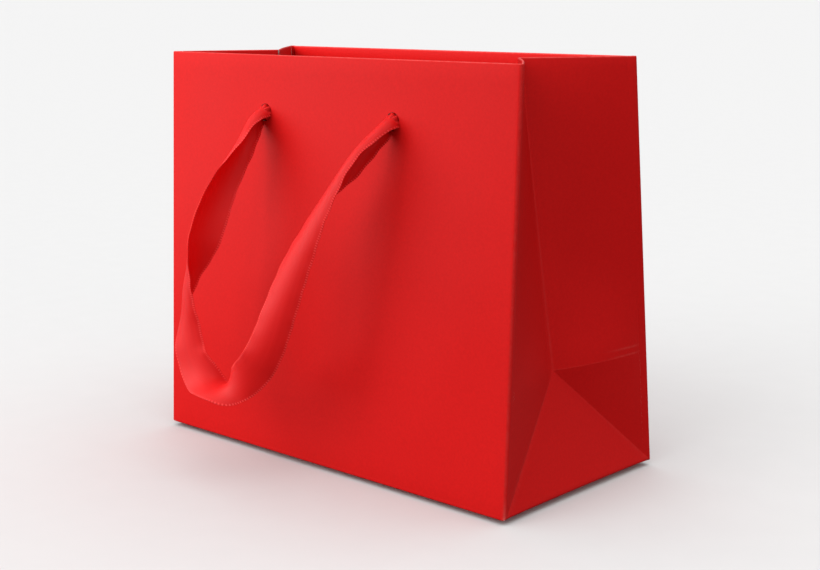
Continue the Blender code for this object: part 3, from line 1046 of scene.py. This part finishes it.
def add_ribbon(word, route, knots):
    """The ribbon of one handle; knots, the pieces at its ends, is not used."""
    middles, frames = ribbon_frames(route)
    steps = np.linalg.norm(np.diff(middles, axis=0), axis=1)
    lengths = np.concatenate([[0], np.cumsum(steps)])
    shares = np.linspace(-0.5, 0.5, RIBBON_COLUMNS)
    points, uv = [], []
    for (middle, side, facing, turn), length in zip(frames, lengths):
        section = ribbon_section(side, facing, turn)
        for share, offset in zip(shares, section):
            points.append(middle + offset + facing * ripple(length, share))
            uv.append((length, share * RIBBON_WIDTH))
    faces = grid_faces(len(middles), RIBBON_COLUMNS)
    obj = add_mesh(f"{word}_ribbon", points, faces, [satin], uv=uv)
    solid = obj.modifiers.new("thickness", "SOLIDIFY")
    solid.thickness = RIBBON_THICK
    solid.offset = 0
    sharpen(obj)
    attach(obj, f"{word}_handle")
    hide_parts(f"{word}_handle_ribbon")


def gathered_tube(points, radii, pleats=7, count=42):
    """(points, faces, uv) of the ribbon gathered into a pleated cord along these points."""
    points = np.asarray(points, float)
    tangents = np.gradient(points, axis=0)
    made, uv = [], []
    length = 0.0
    side = np.array((0.3, 0.9, 0.2))
    for i, (point, radius) in enumerate(zip(points, radii)):
        tangent = unit(tangents[i])
        side = unit(side - side @ tangent * tangent)
        other = np.cross(tangent, side)
        length += float(np.linalg.norm(point - points[max(i - 1, 0)]))
        for k in range(count):
            angle = math.tau * k / count
            pleat = 1 + 0.16 * math.cos(pleats * angle + 60 * length)
            pleat += 0.06 * math.cos(13 * angle + 2.0)
            across = radius * pleat * (math.cos(angle) * side + math.sin(angle) * other)
            made.append(point + across)
            uv.append((length, (k / count - 0.5) * GATHERED_WIDTH))
    faces = []
    for i in range(len(points) - 1):
        for k in range(count):
            a, b = i * count + k, i * count + (k + 1) % count
            faces.append((a, b, b + count, a + count))
    return made, faces, uv


def tail_strip(start, inward, side):
    """(points, faces, uv) of the short end of the ribbon that hangs from a knot and opens out."""
    rows, columns = 14, 25
    made, uv = [], []
    for i in range(rows):
        share = i / (rows - 1)
        middle = start + inward * TAIL_BOW * math.sin(2.2 * share) - UP * TAIL_LENGTH * share
        middle = middle + side * TAIL_SPREAD * share**2
        turn = math.radians(300 - 205 * share**0.7)
        width = RIBBON_WIDTH * (0.45 + 0.45 * share)
        radius = width / turn
        for j in range(columns):
            angle = turn * (j / (columns - 1) - 0.5)
            slant = -TAIL_SLANT * (j / (columns - 1)) * share**3
            across = side * radius * math.sin(angle) + inward * radius * (1 - math.cos(angle))
            made.append(middle + across + UP * slant)
            uv.append((TAIL_LENGTH * share, (j / (columns - 1) - 0.5) * RIBBON_WIDTH))
    return made, grid_faces(rows, columns), uv


def knot_loop(centre, inward, side):
    """The flattened loop of an overhand knot."""
    points = []
    for turn in np.linspace(0, math.tau, 73):
        across = (math.sin(turn) + 2 * math.sin(2 * turn)) * LOOP_ACROSS
        up = (math.cos(turn) - 2 * math.cos(2 * turn)) * LOOP_UP
        deep = -math.sin(3 * turn) * LOOP_DEEP
        points.append(centre + side * across + UP * up + inward * deep)
    return points


def add_knot(word, end, hand, side):
    """The gathered ribbon through a hole, its knot against the hem, and its cut tail."""
    inward, across = wall_inward(end), np.array((1.0, 0.0, 0.0))
    hole = wall_face(end, side * HOLE_X, HOLE_Z)
    centre = hole + inward * KNOT_DEPTH
    depths = np.linspace(-STUB_OUT, KNOT_DEPTH, len(STUB_RADII))
    stub = [hole + inward * depth for depth in depths]
    loop = knot_loop(centre, inward, across)
    tail_start = centre - UP * TAIL_DROP + inward * TAIL_BEHIND
    parts = [
        gathered_tube(stub, STUB_RADII),
        gathered_tube(loop, [KNOT_CORD] * len(loop), pleats=5, count=26),
        tail_strip(tail_start, inward, across * side),
    ]
    points, faces, uv = [], [], []
    for made, linked, spots in parts:
        faces += [tuple(i + len(points) for i in face) for face in linked]
        points += made
        uv += spots
    obj = add_mesh(f"{word}_{hand}_knot_ribbon", points, faces, [satin], uv=uv)
    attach(obj, f"{word}_wall")
    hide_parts(f"{word}_{hand}_knot")
    return obj


def add_knots(word, end):
    return [add_knot(word, end, "left", LEFT), add_knot(word, end, "right", RIGHT)]


def add_ribbons():
    add_ribbon("front", FRONT_ROUTE, add_knots("front", FRONT))
    add_ribbon("back", BACK_ROUTE, add_knots("back", BACK))


def finish():
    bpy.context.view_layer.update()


left_box, rim_box = add_studio()
add_ribbons()
add_bag()
shine_only_on(left_box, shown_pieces())
shine_only_on(rim_box, [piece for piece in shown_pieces() if piece.name in INNER_RIM])
finish()
